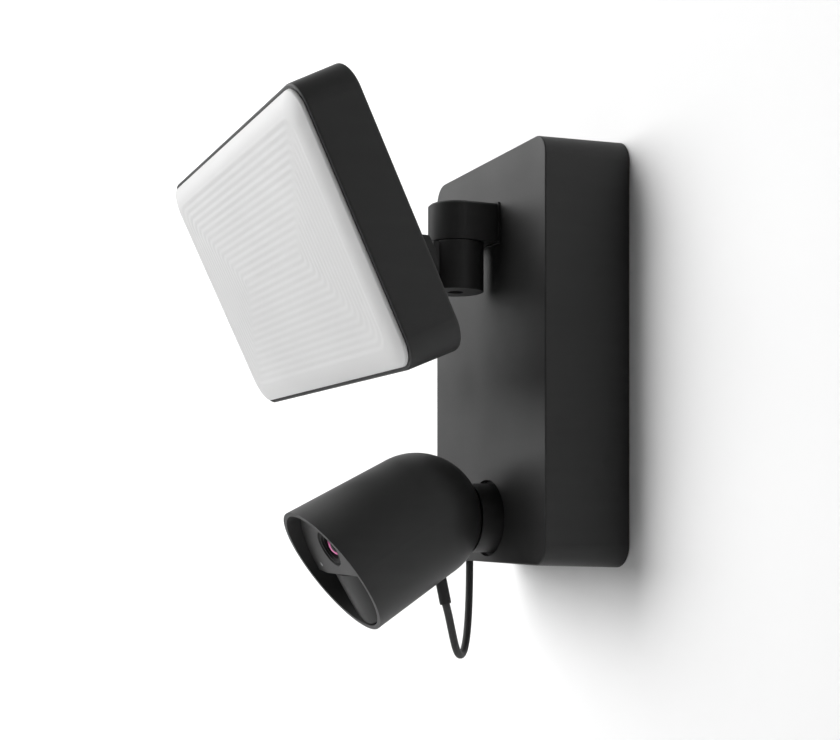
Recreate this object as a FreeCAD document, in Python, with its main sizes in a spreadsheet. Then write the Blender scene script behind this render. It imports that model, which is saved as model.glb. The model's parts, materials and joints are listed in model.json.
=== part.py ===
import FreeCAD, Part
import math
import os
import re
import Sketcher

# A wall-mounted floodlight camera: a flat wall box carries a rectangular flood lamp on a
# two-way knuckle above and a bullet camera on a magnetic neck below.
# The origin is the centre of the box's rear face, on the wall. +Z is up, the front faces -Y.
# Lengths are millimetres, angles degrees.

doc = FreeCAD.newDocument("floodlight_camera")

DIMENSIONS = {
    # wall box; "out" is a distance from the wall, "up" a height above the box's centre
    "box_width": 134.7,
    "box_height": 225.0,
    "box_depth": 49.8,
    "box_corner": 10.7,
    "box_flare": 1.7,
    "box_front_round": 0.8,
    "shell_wall": 2.6,
    # bracket and rear plate
    "bracket_width": 112.0,
    "bracket_height": 200.0,
    "bracket_thick": 2.0,
    "bracket_corner": 8.0,
    "mains_hole_radius": 18.0,
    "slot_spacing": 88.9,
    "slot_length": 16.0,
    "slot_radius": 2.5,
    "wall_hole_spacing_x": 80.0,
    "wall_hole_spacing_up": 150.0,
    "wall_hole_radius": 2.75,
    "tab_up": -103.0,
    "tab_width": 100.0,
    "tab_reach": 20.0,
    "fix_screw_x": 38.0,
    "fix_screw_out": 12.0,
    "fix_screw_radius": 1.9,
    "fix_screw_sink": 2.1,
    "plate_width": 120.0,
    "plate_height": 196.0,
    "plate_out": 4.0,
    "plate_thick": 3.0,
    "post_height": 5.0,
    "post_radius": 3.5,
    "seal_width": 5.0,
    "seal_thick": 3.0,
    # electronics in the box
    "board_width": 84.0,
    "board_height": 120.0,
    "board_up": 10.0,
    "board_thick": 1.6,
    # lamp's vertical pivot and its fixed block
    "pivot_out": 69.0,
    "base_radius": 15.5,
    "base_low": 65.0,
    "base_high": 86.0,
    "base_edge": 1.0,
    "gasket_thick": 1.0,
    "gasket_width": 33.0,
    "arm_screw_x": 10.5,
    "spigot_radius": 6.95,
    "spigot_bore": 7.0,
    "spigot_high": 78.9,
    "bolt_radius": 2.5,
    "bolt_high": 83.5,
    "bolt_seat": 56.0,
    "bolt_head_radius": 4.1,
    "bolt_head": 4.0,
    # knuckle below the block
    "knuckle_low": 37.9,
    "knuckle_high": 64.6,
    "knuckle_edge": 0.5,
    "well_radius": 4.4,
    "flat_ahead": 13.3,
    "tilt_out": 98.0,
    "tilt_up": 52.0,
    "web_half": 7.4,
    "web_out": 86.0,
    "lug_half": 5.0,
    "lug_radius": 8.0,
    "pin_radius": 3.0,
    # flood lamp
    "lamp_out": 171.9,
    "lamp_up": 44.35,
    "lamp_tilt": 25.2,
    "lamp_width": 229.5,
    "lamp_height": 139.1,
    "lamp_depth": 27.7,
    "lamp_flare": 1.15,
    "lamp_corner": 14.2,
    "lamp_rim": 2.5,
    "lamp_back": 3.0,
    "lamp_edge": 1.4,
    "diffuser_gap": 0.4,
    "diffuser_proud": 4.6,
    "diffuser_skirt": 3.0,
    "diffuser_round": 3.2,
    "diffuser_thick": 2.4,
    "led_face": 17.8,
    "led_count_x": 12,
    "led_count_up": 6,
    "led_pitch": 16.0,
    "led_size": 3.0,
    "fin_count": 13,
    "fin_pitch": 16.0,
    # arm behind the lamp
    "arm_top": 9.8,
    "arm_bottom": -15.0,
    "arm_half": 15.5,
    "arm_edge": 2.5,
    "arm_tail": 10.9,
    "hub_radius": 9.5,
    "fork_half": 5.6,
    "flange_width": 60.0,
    "flange_height": 46.0,
    "flange_thick": 4.0,
    # neck of the camera
    "neck_up": -87.75,
    "neck_radius": 19.4,
    "neck_front": 61.5,
    "neck_hole": 21.4,
    "socket_back": 40.0,
    "socket_radius": 27.0,
    "socket_low": -21.8,
    "neck_play": 0.05,
    "magnet_radius": 13.0,
    "pad_radius": 16.5,
    "pad_back": 54.0,
    # bullet camera; "ahead" is a distance along its axis from the ball's centre
    "ball_out": 93.1,
    "ball_radius": 36.0,
    "ball_play": 0.05,
    "camera_tilt": 30.2,
    "nose_ahead": 57.1,
    "nose_radius": 39.15,
    "nose_lean": 6.5,
    "case_wall": 2.6,
    "fascia_ahead": 52.3,
    "fascia_thick": 3.0,
    "fascia_gap": 0.9,
    "lens_up": 11.4,
    "lens_radius": 9.5,
    "glass_radius": 6.2,
    "status_x": -26.4,
    "status_y": 0.8,
    "divider_drop": 4.6,
    "divider_side": 3.4,
    "pir_radius": 75.0,
    # cable
    "plug_out": 78.3,
    "plug_up": -121.15,
    "plug_lean": 12.3,
    "plug_radius": 3.25,
    "plug_length": 14.5,
    "cable_radius": 1.95,
    "loop_radius": 19.0,
    "loop_x": -30.2,
    "loop_out": 50.4,
    "loop_up": -147.1,
    "loop_turn": -38.8,
    "loop_run": 33.1,
    "cable_exit": 34.3,
    "grommet_radius": 4.5,
}

sheet = doc.addObject("Spreadsheet::Sheet", "dims")
for row, (alias, value) in enumerate(DIMENSIONS.items(), start=1):
    sheet.set(f"A{row}", alias)
    sheet.set(f"B{row}", str(value))
    sheet.setAlias(f"B{row}", alias)
doc.recompute()

CELL_NAMES = re.compile(r"(?<!\.)\b(" + "|".join(DIMENSIONS) + r")\b")
PIECES = []


def cells(expression):
    """Point every dimension's name in an expression at its cell of the sheet."""
    return CELL_NAMES.sub(r"dims.\1", expression)


def bind(item, **settings):
    """Tie an object's properties to expressions of the dimensions."""
    for name, expression in settings.items():
        item.setExpression(name, cells(expression))


def spot(x="0", y="0", z="0", turn="0", about="1;0;0"):
    """The expression of a placement: a position, and a turn about one axis."""
    return f"placement(vector({x};{y};{z});rotation(vector({about});{turn}))"


# Working frames. In WALL, NECK, LAMP, CAMERA the local Z points away from the wall,
# or out of the lamp's or camera's front, and the local Y points up.
WALL = spot(turn="90")
NECK = spot(z="neck_up", turn="90")
LAMP = spot(y="-lamp_out", z="lamp_up", turn="90+lamp_tilt")
CAMERA = spot(y="-ball_out", z="neck_up", turn="90+camera_tilt")
PLUG = spot(y="-plug_out", z="plug_up", turn="180+plug_lean")
PIVOT = spot(y="-pivot_out")
LOOP = ("placement(vector(loop_x;-loop_out;loop_up);"
        "rotation(vector(0;0;1);loop_turn)*rotation(vector(1;0;0);90))")
WORLD = spot()


def keep(item, label, frame=WORLD):
    """Name a finished piece, carry its own placement into its frame and list it for export."""
    own = dict(item.ExpressionEngine).get("Placement")
    item.Label = label
    bind(item, Placement=f"{frame}*{own}" if own else frame)
    PIECES.append(item)
    return item


# ---- primitives and booleans -------------------------------------------------------------


def block(name, width, height, depth, x="0", y="0", z="0"):
    """A box centred on x and y that starts at z."""
    item = doc.addObject("Part::Box", name)
    bind(item, Length=width, Width=height, Height=depth,
         Placement=spot(f"{x}-({width})/2", f"{y}-({height})/2", z))
    return item


def rod(name, radius, length, x="0", y="0", z="0", turn="0", about="1;0;0"):
    """A cylinder that starts at a point and runs along Z, or along a turned axis."""
    item = doc.addObject("Part::Cylinder", name)
    bind(item, Radius=radius, Height=length, Placement=spot(x, y, z, turn, about))
    return item


def cone(name, start_radius, end_radius, length, x="0", y="0", z="0"):
    """A cone frustum along Z."""
    item = doc.addObject("Part::Cone", name)
    bind(item, Radius1=start_radius, Radius2=end_radius, Height=length, Placement=spot(x, y, z))
    return item


def ball(name, radius, x="0", y="0", z="0"):
    """A full sphere."""
    item = doc.addObject("Part::Sphere", name)
    bind(item, Radius=radius, Placement=spot(x, y, z))
    return item


def rear_half_ball(name, radius):
    """The half of a sphere behind z = 0."""
    item = doc.addObject("Part::Sphere", name)
    item.Angle1 = -90
    item.Angle2 = 0
    bind(item, Radius=radius)
    return item


def union(name, *items):
    """Several solids fused into one."""
    item = doc.addObject("Part::MultiFuse", name)
    item.Shapes = list(items)
    return item


def cut(name, base, *tools):
    """One solid with others taken out of it."""
    item = doc.addObject("Part::Cut", name)
    item.Base = base
    item.Tool = tools[0] if len(tools) == 1 else union(name + "_tools", *tools)
    return item


def common(name, *items):
    """The part that several solids share."""
    item = doc.addObject("Part::MultiCommon", name)
    item.Shapes = list(items)
    return item


def ring(name, outer, inner, length, x="0", y="0", z="0"):
    """A tube along Z."""
    return cut(name, rod(name + "_outer", outer, length, x, y, z),
               rod(name + "_inner", inner, f"{length}+2", x, y, f"{z}-1"))


def pin_rod(name, radius, start, length, out="tilt_out"):
    """A cylinder along X on the tilt pin's axis, from a starting x."""
    return rod(name, radius, length, start, f"-({out})", "tilt_up", "90", "0;1;0")


def screw(name, shank, length, head, head_length, x="0", y="0", z="0"):
    """A screw along Z: its head starts at z and the shank follows."""
    return union(name, rod(name + "_head", head, head_length, x, y, z),
                 rod(name + "_shank", shank, f"{head_length}+({length})", x, y, z))


# ---- sketches and part-design features ---------------------------------------------------


def new_body(name):
    return doc.addObject("PartDesign::Body", name)


def sketch_on(body, role, name, offset="0"):
    """A sketch flat on one of the body's origin planes, moved off it along its normal."""
    sketch = body.newObject("Sketcher::SketchObject", name)
    plane = next(item for item in body.Origin.OriginFeatures if item.Role == role)
    sketch.AttachmentSupport = [(plane, "")]
    sketch.MapMode = "FlatFace"
    bind(sketch, AttachmentOffset=spot(z=offset))
    return sketch


def number(item, expression):
    """The present value of an expression."""
    return float(item.evalExpression(cells(expression)))


def vector(item, x, y):
    return FreeCAD.Vector(number(item, x), number(item, y), 0)


def driven(sketch, kind, elements, expression):
    """Add a dimensional constraint that follows an expression."""
    index = sketch.addConstraint(Sketcher.Constraint(kind, *elements, number(sketch, expression)))
    sketch.setExpression(f"Constraints[{index}]", cells(expression))


def pin_down(sketch, edge, point, x, y):
    """Fix a sketch point by its two distances from the origin."""
    driven(sketch, "DistanceX", (-1, 1, edge, point), x)
    driven(sketch, "DistanceY", (-1, 1, edge, point), y)


def circle(sketch, radius, x="0", y="0"):
    edge = sketch.addGeometry(
        Part.Circle(vector(sketch, x, y), FreeCAD.Vector(0, 0, 1), number(sketch, radius)), False)
    driven(sketch, "Radius", (edge,), radius)
    pin_down(sketch, edge, 3, x, y)


def polygon(sketch, points):
    """A closed outline of straight lines through points given as pairs of expressions."""
    corners = [vector(sketch, x, y) for x, y in points]
    first = sketch.GeometryCount
    for index, corner in enumerate(corners):
        sketch.addGeometry(Part.LineSegment(corner, corners[(index + 1) % len(corners)]), False)
    for index, (x, y) in enumerate(points):
        before = first + (index - 1) % len(points)
        sketch.addConstraint(Sketcher.Constraint("Coincident", before, 2, first + index, 1))
        pin_down(sketch, first + index, 1, x, y)


def rounded_rectangle(sketch, width, height, radius, x="0", y="0"):
    """A rectangle with tangent corner arcs, centred on x and y."""
    centre = vector(sketch, x, y)
    corner = number(sketch, radius)
    reach_x = number(sketch, width) / 2 - corner
    reach_y = number(sketch, height) / 2 - corner
    arcs = []
    for quadrant, (sign_x, sign_y) in enumerate(((1, 1), (-1, 1), (-1, -1), (1, -1))):
        middle = centre + FreeCAD.Vector(sign_x * reach_x, sign_y * reach_y, 0)
        round_corner = Part.ArcOfCircle(
            Part.Circle(middle, FreeCAD.Vector(0, 0, 1), corner),
            quadrant * math.pi / 2, (quadrant + 1) * math.pi / 2)
        arcs.append(sketch.addGeometry(round_corner, False))
    for index, arc in enumerate(arcs):
        following = arcs[(index + 1) % 4]
        start = sketch.Geometry[arc].EndPoint
        end = sketch.Geometry[following].StartPoint
        side = sketch.addGeometry(Part.LineSegment(start, end), False)
        sketch.addConstraint(Sketcher.Constraint("Tangent", arc, 2, side, 1))
        sketch.addConstraint(Sketcher.Constraint("Tangent", side, 2, following, 1))
    for arc, (sign_x, sign_y) in zip(arcs, (("+", "+"), ("-", "+"), ("-", "-"), ("+", "-"))):
        driven(sketch, "Radius", (arc,), radius)
        pin_down(sketch, arc, 3, f"{x}{sign_x}(({width})/2-({radius}))",
                 f"{y}{sign_y}(({height})/2-({radius}))")


def feature(body, kind, name, profile, **settings):
    """A sketch-based feature; plain settings are set, text ones follow an expression."""
    item = body.newObject("PartDesign::" + kind, name)
    item.Profile = profile
    for key, value in settings.items():
        if isinstance(value, str) and key not in ("Type", "SideType"):
            bind(item, **{key: value})
        else:
            setattr(item, key, value)
    doc.recompute()
    return item


def round_edges(body, base, name, radius, wanted, kind="Fillet"):
    """Round or chamfer the edges of a feature that a test picks out."""
    item = body.newObject("PartDesign::" + kind, name)
    chosen = [f"Edge{index}" for index, edge in enumerate(base.Shape.Edges, start=1) if wanted(edge)]
    item.Base = (base, chosen)
    bind(item, **{"Radius" if kind == "Fillet" else "Size": radius})
    doc.recompute()
    return item


def edges_at_height(height, tolerance=0.01):
    """A test for edges that lie wholly at one local height."""
    return lambda edge: abs(edge.BoundBox.ZMin - height) < tolerance > abs(edge.BoundBox.ZMax - height)


def edges_across(y):
    """A test for edges that run along X at one local y."""
    return lambda edge: edge.BoundBox.YLength < 0.01 and abs(edge.BoundBox.YMin - y) < 0.01


def rounded_rod(name, radius, low, high, edge_radius):
    """A cylinder along Z with both rims rounded."""
    body = new_body(name)
    outline = sketch_on(body, "XY_Plane", name + "_outline", low)
    circle(outline, radius)
    pad = feature(body, "Pad", name + "_pad", outline, Length=f"({high})-({low})")
    round_edges(body, pad, name + "_rims", edge_radius, lambda edge: edge.Closed)
    return body


def tray(name, width, height, corner, depth, low, flare):
    """A rounded rectangular slab whose outline shrinks by the flare over its depth."""
    body = new_body(name)
    outline = sketch_on(body, "XY_Plane", name + "_outline", low)
    rounded_rectangle(outline, f"{width}+2*{flare}", f"{height}+2*{flare}", f"{corner}+{flare}")
    pad = feature(body, "Pad", name + "_slab", outline, Length=depth,
                  TaperAngle=f"-atan({flare}/({depth}))")
    return body, pad


def frame_ring(name, width, height, corner, band, depth, low):
    """A flat rectangular ring of even width with rounded corners."""
    body = new_body(name)
    outline = sketch_on(body, "XY_Plane", name + "_outline", low)
    rounded_rectangle(outline, width, height, corner)
    rounded_rectangle(outline, f"{width}-2*({band})", f"{height}-2*({band})", f"{corner}-({band})")
    feature(body, "Pad", name + "_pad", outline, Length=depth)
    return body


# ---- wall box ----------------------------------------------------------------------------

shell, slab = tray("shell_form", "box_width", "box_height", "box_corner", "box_depth", "0", "box_flare")
front_edge = round_edges(shell, slab, "shell_front_round", "box_front_round",
                         edges_at_height(DIMENSIONS["box_depth"]))
inside = sketch_on(shell, "XY_Plane", "shell_inside")
rounded_rectangle(inside, "box_width+2*box_flare-2*shell_wall", "box_height+2*box_flare-2*shell_wall",
                  "box_corner+box_flare-shell_wall")
feature(shell, "Pocket", "shell_hollow", inside, Length="box_depth-shell_wall", Reversed=True,
        TaperAngle="-atan(box_flare/box_depth)")
front_holes = sketch_on(shell, "XY_Plane", "shell_front_holes")
circle(front_holes, "neck_hole", "0", "neck_up")
for side in ("-", ""):
    circle(front_holes, "2.2", f"{side}arm_screw_x", "(base_low+base_high)/2")
feature(shell, "Pocket", "shell_front_cut", front_holes, Type="ThroughAll", Reversed=True)
low_holes = sketch_on(shell, "XZ_Plane", "shell_low_holes")
circle(low_holes, "grommet_radius", "loop_x-loop_radius*cos(loop_turn)",
       "loop_out+loop_radius*sin(loop_turn)")
for side in ("-", ""):
    circle(low_holes, "fix_screw_radius+0.2", f"{side}fix_screw_x", "fix_screw_out")
feature(shell, "Pocket", "shell_low_cut", low_holes, Type="ThroughAll", Reversed=True)
sinks = sketch_on(shell, "XZ_Plane", "shell_screw_sinks", "box_height/2+box_flare")
for side in ("-", ""):
    circle(sinks, "fix_screw_radius+2", f"{side}fix_screw_x", "fix_screw_out")
feature(shell, "Pocket", "shell_sink_cut", sinks, Length="fix_screw_sink")
keep(shell, "box_shell", WALL)

bracket = new_body("bracket_form")
bracket_outline = sketch_on(bracket, "XY_Plane", "bracket_outline")
rounded_rectangle(bracket_outline, "bracket_width", "bracket_height", "bracket_corner")
circle(bracket_outline, "mains_hole_radius")
for across in ("-", ""):
    rounded_rectangle(bracket_outline, "slot_length", "2*slot_radius", "slot_radius-0.001",
                      f"{across}slot_spacing/2")
    for upright in ("-", ""):
        circle(bracket_outline, "wall_hole_radius", f"{across}wall_hole_spacing_x/2",
               f"{upright}wall_hole_spacing_up/2")
feature(bracket, "Pad", "bracket_plate", bracket_outline, Length="bracket_thick")
tab = sketch_on(bracket, "XY_Plane", "bracket_tab")
polygon(tab, (("-tab_width/2", "tab_up"), ("tab_width/2", "tab_up"),
              ("tab_width/2", "-bracket_height/2+1"), ("-tab_width/2", "-bracket_height/2+1")))
feature(bracket, "Pad", "bracket_tab_root", tab, Length="bracket_thick")
lip = sketch_on(bracket, "XY_Plane", "bracket_lip")
polygon(lip, (("-tab_width/2", "tab_up"), ("tab_width/2", "tab_up"),
              ("tab_width/2", "tab_up+bracket_thick"), ("-tab_width/2", "tab_up+bracket_thick")))
feature(bracket, "Pad", "bracket_lip_pad", lip, Length="bracket_thick+tab_reach")
tab_holes = sketch_on(bracket, "XZ_Plane", "bracket_tab_holes")
for side in ("-", ""):
    circle(tab_holes, "fix_screw_radius+0.05", f"{side}fix_screw_x", "fix_screw_out")
feature(bracket, "Pocket", "bracket_tab_cut", tab_holes, Type="ThroughAll", Reversed=True)
keep(bracket, "wall_bracket", WALL)

plate = new_body("plate_form")
plate_outline = sketch_on(plate, "XY_Plane", "plate_outline", "plate_out")
rounded_rectangle(plate_outline, "plate_width", "plate_height", "bracket_corner")
circle(plate_outline, "mains_hole_radius")
feature(plate, "Pad", "plate_pad", plate_outline, Length="plate_thick")
posts = sketch_on(plate, "XY_Plane", "plate_posts", "plate_out+plate_thick")
for across in ("-", ""):
    for upright in ("-", "+"):
        circle(posts, "post_radius", f"{across}(board_width/2-6)", f"board_up{upright}(board_height/2-6)")
feature(plate, "Pad", "plate_post_pads", posts, Length="post_height")
keep(plate, "rear_plate", WALL)

keep(frame_ring("seal_form", "box_width+2*box_flare-2*shell_wall-0.6",
                "box_height+2*box_flare-2*shell_wall-0.6", "box_corner+box_flare-shell_wall-0.3",
                "seal_width", "seal_thick", "0"), "wall_seal", WALL)

for side, sign in (("left", "-"), ("right", "")):
    keep(screw(f"fix_screw_{side}_form", "fix_screw_radius", "12", "fix_screw_radius+1.8", "1.4"),
         f"fixing_screw_{side}",
         spot(f"{sign}fix_screw_x", "-fix_screw_out", "-box_height/2-box_flare+fix_screw_sink-1.4"))

BOARD_FACE = "plate_out+plate_thick+post_height"
PART_FOOT = f"{BOARD_FACE}+board_thick"
power_board = block("board_form", "board_width", "board_height", "board_thick", "0", "board_up",
                    BOARD_FACE)
mains_cut = rod("board_mains_cut", "mains_hole_radius-6", "20", "0", "0", "0")
keep(cut("power_board_cut", power_board, mains_cut), "power_board", WALL)
keep(union("transformer_sum",
           block("transformer_core", "34", "12", "22", "-20", "40", PART_FOOT),
           block("transformer_bobbin", "22", "30", "17", "-20", "40", f"{PART_FOOT}+2.5")),
     "transformer", WALL)
keep(rounded_rod("capacitor_form", "8", PART_FOOT, f"{PART_FOOT}+24", "1.2"), "capacitor_main",
     f"{WALL}*{spot('24', '46')}")
keep(rounded_rod("capacitor_two_form", "5", PART_FOOT, f"{PART_FOOT}+16", "0.8"), "capacitor_small",
     f"{WALL}*{spot('24', '28')}")
terminal = block("terminal_form", "44", "15", "15", "0", "-38", PART_FOOT)
ports = [rod(f"terminal_port_{index}", "3.2", "12", f"{14 * (index - 1)}", "-38", f"{PART_FOOT}+5")
         for index in range(3)]
keep(cut("terminal_cut", terminal, *ports), "terminal_block", WALL)
sink = new_body("sink_form")
sink_base = sketch_on(sink, "XY_Plane", "sink_base", PART_FOOT)
polygon(sink_base, (("20", "-22"), ("38", "-22"), ("38", "8"), ("20", "8")))
feature(sink, "Pad", "sink_base_pad", sink_base, Length="3")
sink_fin = sketch_on(sink, "XY_Plane", "sink_fin", PART_FOOT)
polygon(sink_fin, (("20", "-22"), ("38", "-22"), ("38", "-20.4"), ("20", "-20.4")))
fin = feature(sink, "Pad", "sink_fin_pad", sink_fin, Length="18")
fins = sink.newObject("PartDesign::LinearPattern", "sink_fins")
fins.Originals = [fin]
fins.Direction = (sink_fin, ["V_Axis"])
fins.Length = 28.4
fins.Occurrences = 6
sink.Tip = fins
keep(sink, "heat_sink", WALL)
keep(block("radio_form", "64", "26", "1.2", "0", "-74", BOARD_FACE), "radio_board", WALL)

# ---- lamp's fixed block and pivot --------------------------------------------------------

BASE_MIDDLE = "(base_low+base_high)/2"
gasket = new_body("gasket_form")
gasket_outline = sketch_on(gasket, "XY_Plane", "gasket_outline", "box_depth")
rounded_rectangle(gasket_outline, "gasket_width", "base_high-base_low+2", "2", "0", BASE_MIDDLE)
for side in ("-", ""):
    circle(gasket_outline, "2.2", f"{side}arm_screw_x", BASE_MIDDLE)
feature(gasket, "Pad", "gasket_pad", gasket_outline, Length="gasket_thick")
keep(gasket, "arm_gasket", WALL)

base = new_body("base_form")
base_outline = sketch_on(base, "XY_Plane", "base_outline", "base_low")
polygon(base_outline, (("-base_radius", "-pivot_out"), ("base_radius", "-pivot_out"),
                       ("base_radius", "-box_depth-gasket_thick"),
                       ("-base_radius", "-box_depth-gasket_thick")))
feature(base, "Pad", "base_rear", base_outline, Length="base_high-base_low")
base_nose = sketch_on(base, "XY_Plane", "base_nose", "base_low")
circle(base_nose, "base_radius", "0", "-pivot_out")
base_solid = feature(base, "Pad", "base_front", base_nose, Length="base_high-base_low")
round_edges(base, base_solid, "base_top_edge", "base_edge",
            lambda edge: edges_at_height(DIMENSIONS["base_high"])(edge)
            and edge.BoundBox.YMin < -DIMENSIONS["box_depth"] - DIMENSIONS["gasket_thick"] - 1,
            "Chamfer")
bore = sketch_on(base, "XY_Plane", "base_bore", "base_low")
circle(bore, "spigot_bore", "0", "-pivot_out")
feature(base, "Pocket", "base_bore_cut", bore, Length="spigot_high+0.1-base_low", Reversed=True)
tapped = sketch_on(base, "XY_Plane", "base_bolt_hole", "base_low")
circle(tapped, "bolt_radius+0.02", "0", "-pivot_out")
feature(base, "Pocket", "base_bolt_cut", tapped, Length="bolt_high+0.5-base_low", Reversed=True)
taps = sketch_on(base, "XZ_Plane", "base_taps", "box_depth+gasket_thick")
for side in ("-", ""):
    circle(taps, "2.02", f"{side}arm_screw_x", BASE_MIDDLE)
feature(base, "Pocket", "base_tap_cut", taps, Length="11", Reversed=True)
keep(base, "arm_base")

for side, sign in (("left", "-"), ("right", "")):
    keep(screw(f"base_screw_{side}_form", "2", "12.8", "3.6", "2.4", f"{sign}arm_screw_x", BASE_MIDDLE,
               "box_depth-shell_wall-2.4"), f"arm_base_screw_{side}", WALL)
keep(union("pan_bolt_sum", rod("pan_bolt_shank", "bolt_radius", "bolt_high-bolt_seat+2", z="bolt_seat-2"),
           rod("pan_bolt_head", "bolt_head_radius", "bolt_head", z="bolt_seat-0.8-bolt_head")),
     "pan_bolt", PIVOT)
keep(ring("spring_washer_form", "bolt_head_radius", "bolt_radius+0.1", "0.7", z="bolt_seat-0.75"),
     "spring_washer", PIVOT)

# ---- knuckle -----------------------------------------------------------------------------

LUG_REACH = "tilt_out-pivot_out"
barrel = rounded_rod("barrel_form", "base_radius", "knuckle_low", "knuckle_high", "knuckle_edge")
flat = block("barrel_flat", "40", "10", "40", y="-flat_ahead-5", z="knuckle_low-5")
spigot = rod("spigot_form", "spigot_radius", "spigot_high-knuckle_high+1", z="knuckle_high-1")
web = block("barrel_web", "2*web_half", "web_out-pivot_out-4", "18", y="-(web_out-pivot_out+4)/2", z="46")
lug_bar = block("lug_bar", "2*lug_half", f"{LUG_REACH}-4", "2*lug_radius-3", y=f"-({LUG_REACH}+4)/2",
                z="tilt_up-lug_radius+1.5")
lug_hub = pin_rod("lug_hub", "lug_radius", "-lug_half", "2*lug_half", LUG_REACH)
lug_hole = pin_rod("lug_hole", "pin_radius+0.05", "-20", "40", LUG_REACH)
well = rod("bolt_well", "well_radius", "bolt_seat-knuckle_low+1", z="knuckle_low-1")
bolt_hole = rod("bolt_hole", "bolt_radius+0.08", "50", z="knuckle_low")
knuckle_solid = union("knuckle_sum", cut("barrel_cut", barrel, flat), web, spigot, lug_bar,
                      lug_hub)
keep(cut("knuckle_cut", knuckle_solid, well, bolt_hole, lug_hole), "pan_knuckle", PIVOT)
keep(ring("pan_washer_form", "base_radius-0.4", "spigot_radius+0.1", "base_low-knuckle_high-0.1",
          z="knuckle_high"), "pan_washer", PIVOT)

# ---- flood lamp --------------------------------------------------------------------------

housing, housing_slab = tray("housing_form", "lamp_width", "lamp_height", "lamp_corner", "lamp_depth",
                             "-lamp_depth", "lamp_flare")
back_round = round_edges(housing, housing_slab, "housing_back_round", "lamp_edge",
                         edges_at_height(-DIMENSIONS["lamp_depth"]))
round_edges(housing, back_round, "housing_front_round", "1", edges_at_height(0))
tub = sketch_on(housing, "XY_Plane", "housing_tub")
rounded_rectangle(tub, "lamp_width-2*lamp_rim", "lamp_height-2*lamp_rim", "lamp_corner-lamp_rim")
feature(housing, "Pocket", "housing_tub_cut", tub, Length="lamp_depth-lamp_back")
rear_holes = sketch_on(housing, "XY_Plane", "housing_rear_holes")
for across in ("-", ""):
    for upright in ("-", ""):
        circle(rear_holes, "2", f"{across}(flange_width/2-6)", f"{upright}(flange_height/2-6)")
feature(housing, "Pocket", "housing_rear_cut", rear_holes, Type="ThroughAll")
keep(housing, "lamp_housing", LAMP)

INSET = "2*(lamp_rim+diffuser_gap)"
diffuser = new_body("diffuser_form")
diffuser_outline = sketch_on(diffuser, "XY_Plane", "diffuser_outline", "-diffuser_skirt")
rounded_rectangle(diffuser_outline, f"lamp_width-{INSET}", f"lamp_height-{INSET}",
                  "lamp_corner-lamp_rim-diffuser_gap")
diffuser_slab = feature(diffuser, "Pad", "diffuser_slab", diffuser_outline,
                        Length="diffuser_skirt+diffuser_proud")
round_edges(diffuser, diffuser_slab, "diffuser_edge", "diffuser_round",
            edges_at_height(DIMENSIONS["diffuser_proud"]))
diffuser_inside = sketch_on(diffuser, "XY_Plane", "diffuser_inside", "-diffuser_skirt")
rounded_rectangle(diffuser_inside, f"lamp_width-{INSET}-7", f"lamp_height-{INSET}-7",
                  "lamp_corner-lamp_rim-diffuser_gap-3.5")
feature(diffuser, "Pocket", "diffuser_hollow", diffuser_inside, Reversed=True,
        Length="diffuser_skirt+diffuser_proud-diffuser_thick")
keep(diffuser, "diffuser", LAMP)

keep(frame_ring("lamp_seal_form", "lamp_width-7.4", "lamp_height-7.4", "lamp_corner-3.7", "3",
                "1.9", "-diffuser_skirt-2"), "lamp_seal", LAMP)
keep(frame_ring("reflector_form", "lamp_width-7.4", "lamp_height-7.4", "lamp_corner-3.7", "8",
                "led_face-5", "-led_face"), "reflector_frame", LAMP)
keep(block("led_board_form", "lamp_width-16", "lamp_height-16", "board_thick", z="-led_face-board_thick"),
     "led_board", LAMP)
leds = new_body("leds_form")
mask = sketch_on(leds, "XY_Plane", "led_mask", "-led_face")
rounded_rectangle(mask, "lamp_width-30", "lamp_height-30", "4")
feature(leds, "Pad", "led_mask_pad", mask, Length="0.3")
chip = sketch_on(leds, "XY_Plane", "led_chip", "-led_face")
rounded_rectangle(chip, "led_size", "led_size", "0.4", "-led_pitch*(led_count_x-1)/2",
                  "-led_pitch*(led_count_up-1)/2")
chip_pad = feature(leds, "Pad", "led_chip_pad", chip, Length="1")
grid = leds.newObject("PartDesign::MultiTransform", "led_grid")
grid.Originals = [chip_pad]
leds.Tip = grid
rows = []
for name, axis, count in (("led_columns", "H_Axis", "led_count_x"), ("led_rows", "V_Axis", "led_count_up")):
    line = leds.newObject("PartDesign::LinearPattern", name)
    line.Direction = (chip, [axis])
    bind(line, Length=f"led_pitch*({count}-1)", Occurrences=count)
    rows.append(line)
grid.Transformations = rows
leds.Tip = grid
keep(leds, "led_array", LAMP)

spreader = new_body("spreader_form")
spreader_plate = sketch_on(spreader, "XY_Plane", "spreader_plate", "-led_face-board_thick-2")
rounded_rectangle(spreader_plate, "lamp_width-16", "lamp_height-16", "4")
feature(spreader, "Pad", "spreader_pad", spreader_plate, Length="2")
rib = sketch_on(spreader, "XY_Plane", "spreader_rib", "-led_face-board_thick-2")
polygon(rib, (("-fin_pitch*(fin_count-1)/2-1", "-lamp_height/2+14"),
              ("-fin_pitch*(fin_count-1)/2+1", "-lamp_height/2+14"),
              ("-fin_pitch*(fin_count-1)/2+1", "lamp_height/2-14"),
              ("-fin_pitch*(fin_count-1)/2-1", "lamp_height/2-14")))
rib_pad = feature(spreader, "Pad", "spreader_rib_pad", rib, Reversed=True,
                  Length="lamp_depth-lamp_back-led_face-board_thick-2-0.2")
ribs = spreader.newObject("PartDesign::LinearPattern", "spreader_ribs")
ribs.Originals = [rib_pad]
ribs.Direction = (rib, ["H_Axis"])
bind(ribs, Length="fin_pitch*(fin_count-1)", Occurrences="fin_count")
spreader.Tip = ribs
keep(spreader, "heat_spreader", LAMP)

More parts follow.
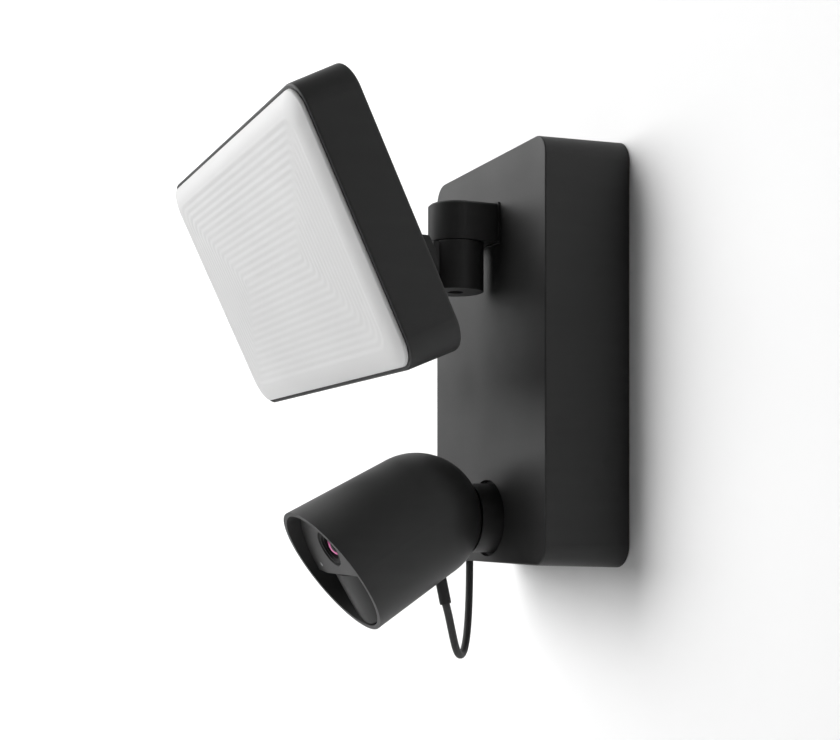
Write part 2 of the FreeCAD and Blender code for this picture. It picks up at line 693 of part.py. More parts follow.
# arm: a beam, level at rest, from the middle of the lamp's back to a fork round the knuckle's lug
PIN_BACK = "((lamp_out-tilt_out)*cos(lamp_tilt)+(tilt_up-lamp_up)*sin(lamp_tilt))"
PIN_DROP = "((lamp_out-tilt_out)*sin(lamp_tilt)-(tilt_up-lamp_up)*cos(lamp_tilt))"
REAR = f"-({PIN_BACK}+arm_tail)"
REAR_TOP = f"arm_top-({PIN_BACK}+arm_tail-lamp_depth)*tan(lamp_tilt)"
HEEL = f"-{PIN_DROP}-hub_radius*cos(lamp_tilt)-(arm_tail+hub_radius*sin(lamp_tilt))*tan(lamp_tilt)"
beam = new_body("beam_form")
side_view = sketch_on(beam, "YZ_Plane", "beam_side")
polygon(side_view, (("arm_top", "-lamp_depth"), (REAR_TOP, REAR), (HEEL, REAR),
                    ("arm_bottom", "-lamp_depth")))
beam_pad = feature(beam, "Pad", "beam_pad", side_view, Length="2*arm_half", Midplane=True)
shoulder = round_edges(beam, beam_pad, "beam_shoulder", "arm_edge",
                       edges_across(number(side_view, REAR_TOP)))
round_edges(beam, shoulder, "beam_heel", "hub_radius", edges_across(number(side_view, HEEL)))
bind(beam, Placement=LAMP)
flange_form = block("flange_form", "flange_width", "flange_height", "flange_thick",
                    z="-lamp_depth-flange_thick")
flange_holes = [rod(f"flange_hole_{index}", "2", "flange_thick+2", f"{across}(flange_width/2-6)",
                    f"{upright}(flange_height/2-6)", "-lamp_depth-flange_thick-1")
                for index, (across, upright) in enumerate((("-", "-"), ("", "-"), ("", ""), ("-", "")))]
flange = cut("flange_cut", flange_form, *flange_holes)
bind(flange, Placement=LAMP)
fork_gap = block("fork_gap", "2*fork_half", "40", "50", "0", "-tilt_out-hub_radius+20", "tilt_up-25")
pin_hole = pin_rod("pin_hole", "pin_radius+0.02", "-arm_half-1", "arm_half+13")
keep(cut("lamp_arm_cut", union("lamp_arm_sum", beam, flange), fork_gap, pin_hole), "lamp_arm")
keep(pin_rod("tilt_pin_form", "pin_radius", "-arm_half+0.8", "arm_half+11"), "tilt_pin")
for side, start in (("left", "-fork_half+0.02"), ("right", "lug_half+0.05")):
    keep(cut(f"tilt_washer_{side}_cut",
             pin_rod(f"tilt_washer_{side}_outer", "lug_radius-1", start, "0.5"),
             pin_rod(f"tilt_washer_{side}_inner", "pin_radius+0.1", f"{start}-0.5", "2")),
         f"tilt_washer_{side}")
corner_signs = (("-", "-"), ("", "-"), ("", ""), ("-", ""))
for index, (across, upright) in enumerate(corner_signs, start=1):
    keep(screw(f"flange_screw_{index}_form", "1.9", "flange_thick+lamp_back-0.6", "3.4", "2.2",
               f"{across}(flange_width/2-6)", f"{upright}(flange_height/2-6)",
               "-lamp_depth-flange_thick-2.2"), f"lamp_arm_screw_{index}", LAMP)

# ---- camera's neck -----------------------------------------------------------------------

socket_flat = block("socket_flat", "2*socket_radius", "10", "20", y="socket_low-5", z="socket_back-5")
keep(cut("socket_cut", ring("socket_form", "socket_radius", "neck_radius+neck_play",
                            "box_depth-shell_wall-socket_back", z="socket_back"), socket_flat),
     "neck_socket", NECK)
collar = union("collar_sum",
               rod("collar_front", "neck_radius", "neck_front-socket_back+neck_play",
                   z="socket_back-neck_play"),
               rod("collar_tail", "neck_radius-2.4", "8", z="socket_back-7"))
keep(cut("collar_cut", collar, ball("collar_cup", "ball_radius+0.5", z="ball_out"),
         rod("collar_pad_seat", "pad_radius+0.05", "12", z="pad_back"),
         rod("collar_magnet_seat", "magnet_radius+0.05", "5", z="pad_back-4")), "neck_collar", NECK)
keep(cut("pad_cut", rod("pad_form", "pad_radius", "10", z="pad_back"),
         ball("pad_cup", "ball_radius+ball_play", z="ball_out")), "cup_pad", NECK)
keep(rod("magnet_form", "magnet_radius", "4", z="pad_back-4"), "neck_magnet", NECK)
keep(ring("retainer_form", "21.7", "neck_radius-2.38", "4", z="socket_back-4.1"), "neck_retainer", NECK)

# ---- bullet camera -----------------------------------------------------------------------

TAPER = "(nose_radius-ball_radius)/nose_ahead"
LONG = "nose_ahead+8"
outer = union("case_outer", rear_half_ball("case_ball", "ball_radius"),
              cone("case_cone", "ball_radius", f"ball_radius+{TAPER}*({LONG})", LONG))
inner = union("case_inner", rear_half_ball("case_ball_inside", "ball_radius-case_wall"),
              cone("case_cone_inside", "ball_radius-case_wall",
                   f"ball_radius-case_wall+{TAPER}*({LONG}+2)", f"{LONG}+2"))
trim = doc.addObject("Part::Box", "case_trim")
bind(trim, Length="120", Width="120", Height="40",
     Placement=f"{spot(z='nose_ahead', turn='nose_lean')}*{spot('-60', '-60')}")
plug_hole = rod("case_plug_hole", "plug_radius+0.3", "12", z="-6")
case = cut("case_cut", outer, inner, trim)
bind(case, Placement=CAMERA)
bind(plug_hole, Placement=f"{PLUG}*{spot(z='-6')}")
keep(cut("case_final", case, plug_hole), "camera_shell")

INNER_AT_FASCIA = f"ball_radius-case_wall+{TAPER}*fascia_ahead"
FASCIA_RADIUS = f"{INNER_AT_FASCIA}-fascia_gap"


def split_prism(name, middle, side, far, low, length):
    """A prism on one side of a nearly level line that dips towards the middle."""
    body = new_body(name)
    outline = sketch_on(body, "XY_Plane", name + "_outline", low)
    polygon(outline, (("-60", side), ("-24", middle), ("24", middle), ("60", side), ("60", far),
                      ("-60", far)))
    feature(body, "Pad", name + "_pad", outline, Length=length)
    return body


fascia_disc = rod("fascia_disc", FASCIA_RADIUS, "fascia_thick", z="fascia_ahead-fascia_thick")
above_line = split_prism("above_line", "-divider_drop", "-divider_side+4", "60", "fascia_ahead-10", "20")
lens_recess = cone("lens_recess", "lens_radius+0.2", "lens_radius+1.2", "fascia_thick+0.02", y="lens_up",
                   z="fascia_ahead-fascia_thick-0.01")
light_hole = rod("status_hole", "1.35", "6", "status_x", "status_y", "fascia_ahead-5")
keep(cut("fascia_cut", common("fascia_common", fascia_disc, above_line), lens_recess, light_hole),
     "fascia", CAMERA)
keep(rod("status_form", "1.3", "2.7", "status_x", "status_y", "fascia_ahead-2.8"), "status_light", CAMERA)

pir_disc = rod("pir_disc", FASCIA_RADIUS, "12", z="fascia_ahead-11")
below_line = split_prism("below_line", "-divider_drop-0.5", "-divider_side+3.5", "-60",
                         "fascia_ahead-12", "20")
pir_middle = "fascia_ahead+0.2-pir_radius"
pir_outer = rod("pir_outer", "pir_radius", "120", "0", "60", pir_middle, "90")
pir_inner = rod("pir_inner", "pir_radius-1.4", "120", "0", "60", pir_middle, "90")
keep(cut("pir_cut", common("pir_common", pir_disc, below_line, pir_outer), pir_inner), "pir_lens", CAMERA)

lens_tube = rod("lens_tube", "lens_radius", "13", y="lens_up", z="fascia_ahead-13.6")
outer_well = cone("lens_outer_well", "lens_radius-1.9", "lens_radius-1.2", "1.02", y="lens_up",
                  z="fascia_ahead-1.6")
inner_well = cone("lens_inner_well", "glass_radius", "glass_radius+0.7", "2.6", y="lens_up",
                  z="fascia_ahead-4.19")
keep(cut("lens_barrel_cut", lens_tube, outer_well, inner_well), "lens_barrel", CAMERA)
lens_ball = ball("lens_ball", "11", y="lens_up", z="fascia_ahead-1-11")
lens_core = rod("lens_core", "glass_radius-0.05", "4", y="lens_up", z="fascia_ahead-4.19")
keep(common("lens_common", lens_ball, lens_core), "lens_glass", CAMERA)
keep(block("sensor_form", "30", "26", "1.2", y="lens_up", z="fascia_ahead-14.9"), "sensor_board", CAMERA)
keep(rounded_rod("pir_can_form", "4.6", "0", "5", "0.5"), "pir_sensor",
     f"{CAMERA}*{spot(y='-18', z='fascia_ahead-18')}")
keep(rod("chassis_form", "31", "2", z="26"), "inner_chassis", CAMERA)
keep(block("main_board_form", "46", "40", "1.6", y="3", z="22"), "main_board", CAMERA)
keep(rounded_rod("speaker_form", "13", "0", "9", "1"), "speaker", f"{CAMERA}*{spot(y='4', z='8')}")
dome = cut("dome_shell", rear_half_ball("dome_outer", "ball_radius-case_wall-0.05"),
           rear_half_ball("dome_inner", "ball_radius-case_wall-1.6"))
keep(common("dome_common", dome, rod("dome_limit", "19", "40", z="-38")), "steel_pole_plate", CAMERA)

keep(block("socket_block", "9", "5", "9", z="-14"), "cable_socket", PLUG)
keep(rounded_rod("plug_form", "plug_radius", "-4.9", "plug_length", "0.5"), "cable_plug", PLUG)

# ---- cable: a hanging loop in two halves, and its grommet in the box's underside ----------


def loop_arc(name, start, sweep):
    """A stretch of the cable's bend, from a starting angle."""
    item = doc.addObject("Part::Torus", name)
    item.Angle3 = sweep
    bind(item, Radius1="loop_radius", Radius2="cable_radius", Placement=spot(turn=start, about="0;0;1"))
    return item


def loop_rod(name, radius, low, high):
    """A cylinder on the cable's upright run, between two heights of the loop's frame."""
    return rod(name, radius, f"({high})-({low})", "-loop_radius", high, "0", "90")


slant = rod("camera_slant", "cable_radius", "loop_run", "loop_radius*cos(45)", "-loop_radius*sin(45)", "0",
            "-90", "1;-1;0")
keep(union("camera_half", loop_arc("camera_arc", "-90", 45), slant), "cable_camera_half", LOOP)
keep(union("wall_half", loop_arc("wall_arc", "-180", 90),
           loop_rod("wall_leg", "cable_radius", "0", "cable_exit+8")), "cable_wall_half", LOOP)
grommet_bar = loop_rod("grommet_bar", "grommet_radius-0.05", "cable_exit", "cable_exit+4.6")
grommet_brim = loop_rod("grommet_brim", "grommet_radius+1.5", "cable_exit+3.1", "cable_exit+4.6")
grommet_hole = loop_rod("grommet_hole", "cable_radius+0.1", "cable_exit-2", "cable_exit+8")
keep(cut("grommet_cut", union("grommet_sum", grommet_bar, grommet_brim), grommet_hole),
     "cable_grommet", LOOP)

# ---- check and export --------------------------------------------------------------------

doc.recompute()
faults = []
for item in doc.Objects:
    if "Invalid" in item.State or "Error" in item.State:
        faults.append(f"{item.Label}: {item.State}")
for item in PIECES:
    if item.Shape.isNull() or not item.Shape.isValid():
        faults.append(f"{item.Label}: no valid shape")
if faults:
    raise RuntimeError("; ".join(faults))

os.makedirs("parts", exist_ok=True)
for item in PIECES:
    item.Shape.exportStep(f"parts/{item.Label}.step")
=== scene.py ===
import json
import math

import bpy
import bmesh
from mathutils import Matrix, Vector


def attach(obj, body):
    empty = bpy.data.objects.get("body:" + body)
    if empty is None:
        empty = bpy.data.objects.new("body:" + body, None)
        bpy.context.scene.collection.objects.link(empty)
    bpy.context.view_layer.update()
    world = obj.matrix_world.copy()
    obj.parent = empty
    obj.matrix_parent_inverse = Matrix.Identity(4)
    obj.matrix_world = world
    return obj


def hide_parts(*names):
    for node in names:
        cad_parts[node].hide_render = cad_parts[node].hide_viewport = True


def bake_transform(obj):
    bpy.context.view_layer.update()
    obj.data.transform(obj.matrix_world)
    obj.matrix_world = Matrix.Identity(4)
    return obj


# A floodlight security camera on a white wall. Everything is in metres in the CAD model's frame:
# origin at the centre of the wall box's rear face, +Z up, front towards -Y.

MM = 0.001
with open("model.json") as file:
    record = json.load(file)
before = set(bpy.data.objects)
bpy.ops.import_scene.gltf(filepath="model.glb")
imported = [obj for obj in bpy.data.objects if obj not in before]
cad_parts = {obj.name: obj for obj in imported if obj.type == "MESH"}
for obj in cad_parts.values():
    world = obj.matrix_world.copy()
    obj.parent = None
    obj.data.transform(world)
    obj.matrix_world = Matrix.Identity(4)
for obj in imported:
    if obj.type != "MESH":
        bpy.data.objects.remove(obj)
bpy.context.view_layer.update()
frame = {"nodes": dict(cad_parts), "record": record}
nodes = frame["nodes"]

# ---- places taken from the object's design -------------------------------------------------

LAMP_ORIGIN = Vector((0, -171.9, 44.35)) * MM
LAMP_TURN = math.radians(90 + 25.2)
LAMP_SIZE = (229.5 * MM, 139.1 * MM)
RIM = 2.2 * MM
LAMP_CORNER = 14.2 * MM
CAMERA_ORIGIN = Vector((0, -93.1, -87.75)) * MM
CAMERA_TURN = math.radians(90 + 30.2)
CABLE_RADIUS = 2.2 * MM


def placed(origin, turn):
    """The matrix of a piece's own frame: a position and a turn about X."""
    return Matrix.Translation(origin) @ Matrix.Rotation(turn, 4, "X")


LAMP = placed(LAMP_ORIGIN, LAMP_TURN)
CAMERA = placed(CAMERA_ORIGIN, CAMERA_TURN)
LENS_CENTRE = CAMERA @ (Vector((0, 11.4, 50.5)) * MM)

# ---- materials -----------------------------------------------------------------------------


class Shader:
    """A small helper that builds one procedural material's node tree."""

    def __init__(self, name):
        self.material = bpy.data.materials.new(name)
        self.material.use_nodes = True
        self.tree = self.material.node_tree
        self.tree.nodes.clear()
        self.output = self.add("ShaderNodeOutputMaterial")
        self.place = self.add("ShaderNodeTexCoord").outputs["Object"]

    def add(self, kind, inputs=None, **settings):
        node = self.tree.nodes.new(kind)
        for key, value in settings.items():
            setattr(node, key, value)
        for key, value in (inputs or {}).items():
            if isinstance(value, bpy.types.NodeSocket):
                self.tree.links.new(value, node.inputs[key])
            else:
                node.inputs[key].default_value = value
        return node

    def noise(self, scale, detail=3.0, rough=0.55, stretch=None):
        place = self.place
        if stretch:
            place = self.add("ShaderNodeMapping", {"Vector": place, "Scale": stretch}).outputs[0]
        return self.add("ShaderNodeTexNoise", {"Vector": place, "Scale": scale, "Detail": detail,
                                               "Roughness": rough}).outputs[0]

    def remap(self, value, low, high, start=0.0, end=1.0):
        return self.add("ShaderNodeMapRange", {"Value": value, "From Min": start, "From Max": end,
                                               "To Min": low, "To Max": high}).outputs[0]

    def mix(self, share, one, two):
        node = self.add("ShaderNodeMix", data_type="RGBA")
        for index, value in ((0, share), (6, one), (7, two)):
            if isinstance(value, bpy.types.NodeSocket):
                self.tree.links.new(value, node.inputs[index])
            else:
                node.inputs[index].default_value = value
        return node.outputs[2]

    def maths(self, operation, *values):
        return self.add("ShaderNodeMath", dict(enumerate(values)), operation=operation).outputs[0]

    def edges(self, radius):
        """A normal that rounds edges off, and a mask that is bright on them."""
        soft = self.add("ShaderNodeBevel", {"Radius": radius}, samples=4).outputs[0]
        true = self.add("ShaderNodeNewGeometry").outputs["Normal"]
        facing = self.add("ShaderNodeVectorMath", {0: soft, 1: true},
                          operation="DOT_PRODUCT").outputs["Value"]
        mask = self.remap(self.maths("SUBTRACT", 1.0, facing), 0.0, 1.0, 0.01, 0.12)
        return soft, mask

    def distance(self, point):
        """How far the shaded place is from a fixed point."""
        return self.add("ShaderNodeVectorMath", {0: self.place, 1: tuple(point)},
                        operation="DISTANCE").outputs["Value"]

    def bump(self, height, distance, strength, normal=None):
        inputs = {"Height": height, "Distance": distance, "Strength": strength}
        if normal is not None:
            inputs["Normal"] = normal
        return self.add("ShaderNodeBump", inputs).outputs[0]

    def surface(self, **inputs):
        named = {key.replace("_", " "): value for key, value in inputs.items()}
        shader = self.add("ShaderNodeBsdfPrincipled", named)
        self.tree.links.new(shader.outputs[0], self.output.inputs["Surface"])
        return self.material


def tone(value, tint=(1, 1, 1)):
    return (value * tint[0], value * tint[1], value * tint[2], 1)


def moulded(name, dark, light, rough, grain=1500, grain_depth=0.012, edge_wear_and_highlight=0.35, edge=0.45, specular=0.5,
            **extra):
    """Moulded plastic or rubber: spark-eroded grain, faint flow marks, and edges lightened in colour,
    partly as handling marks and partly as a painted highlight.
    """
    s = Shader(name)
    soft, mask = s.edges(edge * MM)
    cloud = s.noise(22, 4.0)
    flow = s.noise(60, 2.0, stretch=(0.4, 0.4, 3.0))
    fine = s.noise(grain, 2.0, 0.6)
    base = s.mix(s.remap(s.maths("ADD", cloud, s.maths("MULTIPLY", flow, 0.5)), 0.0, 1.0, 0.45, 1.05),
                 dark, light)
    # Painted highlight: the edges are lightened in colour, standing partly for rubbing from handling
    # and partly for light catching them.
    edge_wear_and_highlight_colour = tuple(min(1.0, channel * 2.0 + 0.01) for channel in light[:3]) + (1,)
    edge_wear_and_highlight_mask = s.maths("MULTIPLY", mask, s.remap(s.noise(180, 4.0), 0.2, 1.0, 0.35, 0.65))
    colour = s.mix(s.maths("MULTIPLY", edge_wear_and_highlight_mask, edge_wear_and_highlight), base, edge_wear_and_highlight_colour)
    roughness = s.remap(s.maths("ADD", s.maths("MULTIPLY", cloud, 0.7), s.maths("MULTIPLY", fine, 0.3)),
                        rough - 0.07, rough + 0.07, 0.25, 0.75)
    normal = s.bump(fine, grain_depth * MM, 0.55, s.bump(cloud, 0.06 * MM, 0.15, soft))
    return s.surface(Base_Color=colour, Roughness=roughness, Normal=normal, Specular_IOR_Level=specular,
                     **extra)


def metal(name, dark, light, rough, stretch=(1, 1, 14), edge=0.3):
    """Plated or rolled metal: directional scratches, cloudy plating, bright edges."""
    s = Shader(name)
    soft, mask = s.edges(edge * MM)
    cloud = s.noise(90, 5.0)
    lines = s.noise(700, 2.0, stretch=stretch)
    colour = s.mix(mask, s.mix(s.remap(cloud, 0, 1, 0.3, 0.7), dark, light), tone(0.9))
    marks = s.maths("ADD", s.maths("MULTIPLY", lines, 0.6), s.maths("MULTIPLY", cloud, 0.4))
    roughness = s.remap(marks, rough - 0.1, rough + 0.12, 0.3, 0.7)
    normal = s.bump(lines, 0.01 * MM, 0.3, soft)
    return s.surface(Base_Color=colour, Metallic=1.0, Roughness=roughness, Normal=normal)


def board(name, mask_colour, trace_colour, rough=0.35):
    """A printed circuit board: solder mask over raised tracks, bare pads showing through."""
    s = Shader(name)
    soft, _ = s.edges(0.15 * MM)
    grid = s.add("ShaderNodeTexBrick", {"Vector": s.place, "Scale": 120.0, "Mortar Size": 0.08},
                 offset=0.5).outputs["Fac"]
    pads = s.add("ShaderNodeTexVoronoi", {"Vector": s.place, "Scale": 260.0}).outputs["Distance"]
    pad = s.remap(pads, 1.0, 0.0, 0.10, 0.14)
    colour = s.mix(pad, s.mix(grid, mask_colour, trace_colour), (0.75, 0.62, 0.36, 1))
    roughness = s.remap(s.noise(300), rough - 0.08, rough + 0.1, 0.3, 0.7)
    return s.surface(Base_Color=colour, Roughness=roughness, Metallic=s.maths("MULTIPLY", pad, 0.8),
                     Normal=s.bump(grid, 0.03 * MM, 0.6, soft))


def opal(name):
    """The lamp's opal diffuser: dense white plastic that light sinks into, with a soft sheen."""
    s = Shader(name)
    soft, _ = s.edges(0.4 * MM)
    cloud = s.noise(14, 3.0)
    fine = s.noise(2200, 2.0)
    colour = s.mix(cloud, tone(0.84), tone(0.90, (1, 1, 0.995)))
    roughness = s.remap(s.maths("ADD", s.maths("MULTIPLY", cloud, 0.5), s.maths("MULTIPLY", fine, 0.5)),
                        0.38, 0.52, 0.3, 0.7)
    return s.surface(Base_Color=colour, Roughness=roughness, Subsurface_Weight=0.3,
                     Subsurface_Scale=1.2 * MM, Subsurface_Radius=(1, 1, 1),
                     Normal=s.bump(fine, 0.006 * MM, 0.3, soft))


def glass_with_painted_reflection(name):
    """The front lens: a magenta reflection is painted into its colour by position, a crescent beside a
    dark iris set off centre, lighter where the glass is seen at a grazing angle.
    """
    s = Shader(name)
    facing = s.add("ShaderNodeLayerWeight", {"Blend": 0.35}).outputs["Facing"]
    blotch = s.noise(420, 3.0)
    rim = s.remap(s.distance(LENS_CENTRE), 0.0, 1.0, 5.2 * MM, 6.0 * MM)
    iris = s.remap(s.distance(LENS_CENTRE + Vector((4.5, 0, 0)) * MM), 1.0, 0.0, 3.0 * MM, 4.2 * MM)
    # Painted reflection: magenta, lighter towards a grazing view; the iris disc sits 4.5 mm off centre
    # to give it a crescent's shape.
    bright = s.mix(facing, (0.62, 0.03, 0.26, 1), (0.95, 0.20, 0.55, 1))
    painted_lens_reflection = s.mix(s.remap(blotch, 0.0, 0.2, 0.4, 0.7), bright, (0.35, 0.02, 0.15, 1))
    colour = s.mix(s.maths("MAXIMUM", rim, iris), painted_lens_reflection, tone(0.006))
    return s.surface(Base_Color=colour, Roughness=s.remap(blotch, 0.12, 0.2), Metallic=1.0,
                     Coat_Weight=0.15, Coat_Roughness=0.03, Coat_Tint=(1.0, 0.72, 0.92, 1),
                     Normal=s.bump(blotch, 0.002 * MM, 0.2))


WARM = (1, 0.97, 0.92)
CREAM = (1, 1, 0.93)
LOOKS = {
    "case_plastic": moulded("case_plastic", tone(0.024), tone(0.031), 0.50, edge_wear_and_highlight=0.2),
    "dark_plastic": moulded("dark_plastic", tone(0.007), tone(0.011), 0.55, edge_wear_and_highlight=0.15, specular=0.15),
    "rubber_black": moulded("rubber_black", tone(0.020), tone(0.030), 0.62, grain=1100, edge_wear_and_highlight=0.15),
    "zinc_steel": metal("zinc_steel", tone(0.42), tone(0.62), 0.34),
    "magnet_nickel": metal("magnet_nickel", tone(0.55, WARM), tone(0.72, WARM), 0.2),
    "diffuser_white": opal("diffuser_white"),
    "white_plastic": moulded("white_plastic", tone(0.70), tone(0.78), 0.5, edge_wear_and_highlight=0.1),
    "aluminium": metal("aluminium", tone(0.60), tone(0.78), 0.38, stretch=(14, 1, 1)),
    "board_white": board("board_white", tone(0.72), tone(0.80)),
    "board_green": board("board_green", (0.012, 0.07, 0.03, 1), (0.02, 0.12, 0.05, 1)),
    "component_dark": moulded("component_dark", tone(0.02), tone(0.035), 0.45, grain=900),
    "washer_nylon": moulded("washer_nylon", tone(0.55, CREAM), tone(0.65, CREAM), 0.45, edge_wear_and_highlight=0.1),
    "fascia_plastic": moulded("fascia_plastic", tone(0.034), tone(0.046), 0.46, grain=1900,
                              specular=0.35),
    "pir_plastic": moulded("pir_plastic", tone(0.010), tone(0.014), 0.42, grain=2400, grain_depth=0.006,
                           specular=0.14),
    "lens_glass": glass_with_painted_reflection("lens_glass"),
    "light_pipe": moulded("light_pipe", tone(0.45), tone(0.55), 0.25, edge_wear_and_highlight=0.1),
}

for entry in frame["record"]["subparts"]:
    mesh = nodes[entry["node"]].data
    mesh.materials.clear()
    mesh.materials.append(LOOKS[entry["material_slot"]])

# ---- pieces made here ----------------------------------------------------------------------


def new_piece(name, rings, matrix, slot, body=None):
    """A mesh skinned over a list of closed rings that all have the same number of points."""
    shape = bmesh.new()
    made = [[shape.verts.new(matrix @ Vector(point)) for point in ring] for ring in rings]
    count = len(made[0])
    for one, two in zip(made, made[1:]):
        for index in range(count):
            following = (index + 1) % count
            shape.faces.new((one[index], one[following], two[following], two[index]))
    shape.faces.new(list(reversed(made[0])))
    shape.faces.new(made[-1])
    bmesh.ops.recalc_face_normals(shape, faces=shape.faces)
    for face in shape.faces:
        face.smooth = True
    mesh = bpy.data.meshes.new(name)
    shape.to_mesh(mesh)
    shape.free()
    mesh.set_sharp_from_angle(angle=math.radians(50))
    piece = bpy.data.objects.new(name, mesh)
    bpy.context.scene.collection.objects.link(piece)
    mesh.materials.append(LOOKS[slot])
    if body:
        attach(piece, body)
    return piece


def rounded_ring(width, height, corner, out, steps=8):
    """Points round a rounded rectangle in a plane at a height above the local XY plane."""
    points = []
    for quadrant, (side, up) in enumerate(((1, 1), (-1, 1), (-1, -1), (1, -1))):
        for step in range(steps + 1):
            angle = (quadrant + step / steps) * math.pi / 2
            points.append((side * (width / 2 - corner) + corner * math.cos(angle),
                           up * (height / 2 - corner) + corner * math.sin(angle), out))
    return points


# The diffuser is a pillow with a broad rounded margin and a relief of nested rectangles. A thin lip
# laps over the housing's rim, and a skirt drops into the housing.
LIP = 1.2 * MM
LIP_THICK = 0.2 * MM
LIP_GAP = 0.05 * MM
EDGE = 0.9 * MM
EDGE_RISE = 2.0 * MM
MARGIN = 11 * MM
PILLOW = 4.5 * MM
PITCH = 3.87 * MM
RELIEF = 0.11 * MM
SKIRT = 3 * MM
SKIRT_CHAMFER = 0.3 * MM
STEP = 0.35 * MM
LAST_RING = 0.3 * MM
INNER_CORNER = 3 * MM
CORNER_FADE = 20 * MM
diffuser_width = LAMP_SIZE[0] - 2 * RIM
diffuser_height = LAMP_SIZE[1] - 2 * RIM
diffuser_corner = LAMP_CORNER - RIM


def pillow_height(inset):
    """Height of the diffuser's face over the rim's plane at a distance in from its outline."""
    if inset < EDGE:
        low = LIP_GAP + LIP_THICK
        rise = low + (EDGE_RISE - low) * math.sqrt(1 - (1 - inset / EDGE) ** 2)
    else:
        slope = max(0, 1 - (inset - EDGE) / (MARGIN - EDGE))
        rise = PILLOW - (PILLOW - EDGE_RISE) * slope ** 2
    wave = inset - MARGIN + PITCH / 2
    if wave > 0:
        rise += RELIEF * (0.5 - 0.5 * math.cos(2 * math.pi * wave / PITCH)) - RELIEF
        rise += RELIEF * max(0, 1 - wave / PITCH)
    return rise


def inset_ring(inset, out):
    """The diffuser's outline drawn in by a distance, with corners that tighten towards the middle."""
    corner = INNER_CORNER + (diffuser_corner - INNER_CORNER) * math.exp(-inset / CORNER_FADE)
    half = min(diffuser_width, diffuser_height) / 2 - inset
    return rounded_ring(diffuser_width - 2 * inset, diffuser_height - 2 * inset,
                        min(corner, half * 0.95), out)


diffuser_rings = [inset_ring(LIP + SKIRT_CHAMFER, -SKIRT), inset_ring(LIP, SKIRT_CHAMFER - SKIRT),
                  inset_ring(LIP, LIP_GAP), inset_ring(LIP_THICK, LIP_GAP)]
inset = 0.0
while inset < diffuser_height / 2 - LAST_RING:
    diffuser_rings.append(inset_ring(inset, pillow_height(inset)))
    inset += STEP * (0.25 if inset < 1.5 * EDGE else 1)
diffuser = new_piece("diffuser_relief", diffuser_rings, LAMP, "diffuser_white", "lamp")
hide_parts("diffuser")

# ---- cable -----------------------------------------------------------------------------------

PLUG_END = Vector((0, -75.21, -135.32)) * MM
PLUG_LINE = Vector((0, math.sin(math.radians(12.3)), -math.cos(math.radians(12.3))))
BOX_ENTRY = Vector((-45, -38.5, -112)) * MM
UP = Vector((0, 0, 1))
ACROSS = (BOX_ENTRY - PLUG_END) * Vector((1, 1, 0))


def tube(name, path, radius, slot, sides=20):
    """A round tube along a path of points."""
    rings = []
    side = None
    for index, point in enumerate(path):
        ahead = path[min(index + 1, len(path) - 1)] - path[max(index - 1, 0)]
        ahead.normalize()
        if side is None:
            side = ahead.orthogonal().normalized()
        side = (side - ahead * side.dot(ahead)).normalized()
        other = ahead.cross(side)
        rings.append([point + (side * math.cos(turn) + other * math.sin(turn)) * radius
                      for turn in (2 * math.pi * k / sides for k in range(sides))])
    return new_piece(name, rings, Matrix.Identity(4), slot)


def beside(share, height):
    """A point in the upright plane through the plug's end and the box's entry."""
    return Vector((0, 0, height * MM)) + PLUG_END * Vector((1, 1, 0)) + ACROSS * share


def bend(start, pull_start, pull_end, end, count=36):
    """Points along a cubic curve."""
    points = []
    for index in range(count + 1):
        t = index / count
        points.append(start * (1 - t) ** 3 + pull_start * 3 * t * (1 - t) ** 2
                      + pull_end * 3 * t ** 2 * (1 - t) + end * t ** 3)
    return points


LOOP_LOW = -167.3
LOOP_MIDDLE = -148
bottom = beside(0.62, LOOP_LOW)
camera_path = bend(PLUG_END, beside(0.24, LOOP_MIDDLE), beside(0.37, LOOP_LOW), bottom)
camera_path.insert(0, PLUG_END - PLUG_LINE * 2 * MM)
wall_path = bend(bottom, beside(0.87, LOOP_LOW), beside(0.99, LOOP_MIDDLE), BOX_ENTRY)
wall_path.append(BOX_ENTRY + UP * 7 * MM)
camera_cable = tube("cable_from_camera", camera_path, CABLE_RADIUS, "rubber_black")
wall_cable = tube("cable_from_box", wall_path, CABLE_RADIUS, "rubber_black")
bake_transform(camera_cable)
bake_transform(wall_cable)
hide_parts("cable_camera_half")
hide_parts("cable_wall_half")

# ---- stage, light and camera -------------------------------------------------------------------


def one_sided(name, value, bounce, glow):
    """A pale matt surface that can't be seen from behind, throws a share of its light back at the
    object and glows only far off to the left."""
    s = Shader(name)
    cloud = s.noise(3, 3.0)
    seen = s.mix(cloud, tone(value - 0.01), tone(value + 0.01))
    colour = s.mix(s.add("ShaderNodeLightPath").outputs["Is Camera Ray"], tone(value * bounce), seen)
    across = s.add("ShaderNodeSeparateXYZ", {0: s.place}).outputs[0]
    far = s.maths("MULTIPLY", s.remap(across, 1.0, 0.0, -2.0, -1.0), glow)
    matt = s.add("ShaderNodeBsdfPrincipled", {
        "Base Color": colour, "Roughness": 0.9, "Specular IOR Level": 0.1,
        "Emission Color": (1, 1, 1, 1), "Emission Strength": far,
        "Normal": s.bump(s.noise(400), 0.02 * MM, 0.2)})
    behind = s.add("ShaderNodeNewGeometry").outputs["Backfacing"]
    clear = s.add("ShaderNodeBsdfTransparent")
    chosen = s.add("ShaderNodeMixShader", {0: behind, 1: matt.outputs[0], 2: clear.outputs[0]})
    s.tree.links.new(chosen.outputs[0], s.output.inputs["Surface"])
    return s.material


def sheet(name, corners, material):
    """One flat face of the stage, given by its four corners."""
    mesh = bpy.data.meshes.new(name)
    mesh.from_pydata(corners, [], [(0, 1, 2, 3)])
    mesh.materials.append(material)
    item = bpy.data.objects.new(name, mesh)
    bpy.context.scene.collection.objects.link(item)
    return item


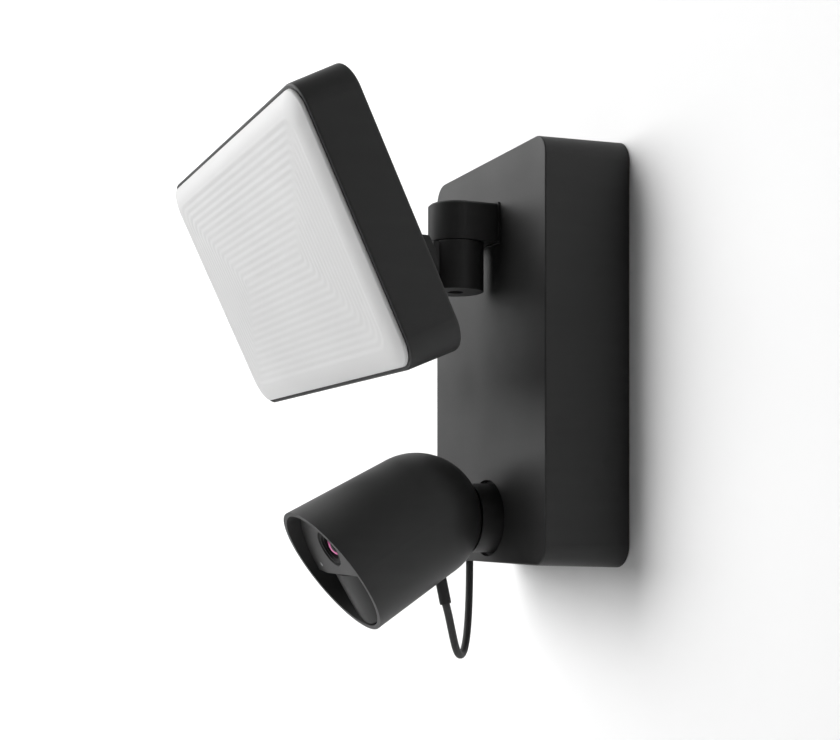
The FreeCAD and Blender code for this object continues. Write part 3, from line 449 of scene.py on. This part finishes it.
WIDE = 6.0
BACK = 0.4 * MM
FLOOR = -0.8
wall_corners = ((-WIDE, BACK, FLOOR), (WIDE, BACK, FLOOR), (WIDE, BACK, WIDE), (-WIDE, BACK, WIDE))
wall = sheet("wall", wall_corners, one_sided("pale_wall", 0.82, 0.68, 1.0))
floor_corners = ((-WIDE, -WIDE, FLOOR), (WIDE, -WIDE, FLOOR), (WIDE, BACK, FLOOR), (-WIDE, BACK, FLOOR))
sheet("floor", floor_corners, one_sided("pale_floor", 0.82, 1.0, 0.0))


def gathered(name, items):
    """A loose collection that names the objects a light works on."""
    group = bpy.data.collections.new(name)
    for item in items:
        group.objects.link(item)
    return group


def soft_light(name, place, target, size, power, lit):
    """A square soft box that lights only the objects it is given."""
    light = bpy.data.lights.new(name, "AREA")
    light.shape = "RECTANGLE"
    light.size = light.size_y = size
    light.energy = power
    item = bpy.data.objects.new(name, light)
    item.location = Vector(place)
    item.rotation_euler = (Vector(target) - Vector(place)).to_track_quat("-Z", "Y").to_euler()
    item.light_linking.receiver_collection = gathered(name + "_lights", lit)
    bpy.context.scene.collection.objects.link(item)
    return item


# The key lights the object and the floor, with a little more of it on the diffuser. A stronger twin
# lights the wall, where only the box casts a shadow.
pieces = [item for item in bpy.context.scene.objects if item.type == "MESH" and item != wall]
KEY_PLACE = (-1.2, -1.5, 0.9)
KEY_SIZE = 2.2
MIDDLE = (0, -0.05, 0)
soft_light("key", KEY_PLACE, MIDDLE, KEY_SIZE, 46, pieces)
soft_light("lamp_key", KEY_PLACE, MIDDLE, KEY_SIZE, 10, [diffuser])
soft_light("fill", (1.2, -1.9, 0.3), MIDDLE, 1.5, 1.5, pieces)
backdrop = soft_light("backdrop", KEY_PLACE, (0, 0, 0), KEY_SIZE, 93, [wall])
backdrop.light_linking.blocker_collection = gathered("backdrop_shadows", [nodes["box_shell"]])

world = bpy.data.worlds.new("studio")
world.use_nodes = True
sky = world.node_tree.nodes["Background"]
sky.inputs["Color"].default_value = (1, 1, 1, 1)
sky.inputs["Strength"].default_value = 0.065
bpy.context.scene.world = world
bpy.context.scene.view_settings.view_transform = "Standard"

camera = bpy.data.objects.new("camera", bpy.data.cameras.new("camera"))
camera.location = (0.6782, -0.3909, -0.0845)
camera.rotation_euler = (math.radians(90), 0, math.radians(66.13))
camera.data.sensor_width = 36
camera.data.lens = 57.77
camera.data.clip_start = 0.05
bpy.context.scene.collection.objects.link(camera)
bpy.context.scene.camera = camera

# The lens shift follows the camera's rotation mode, so it drops away when the camera is put
# anywhere else.
SHIFT = 0.1693
shift = camera.data.driver_add("shift_y")
shift.driver.type = "AVERAGE"
source = shift.driver.variables.new()
source.targets[0].id = camera
source.targets[0].data_path = "rotation_mode"
shift.modifiers[0].coefficients = (0, SHIFT)
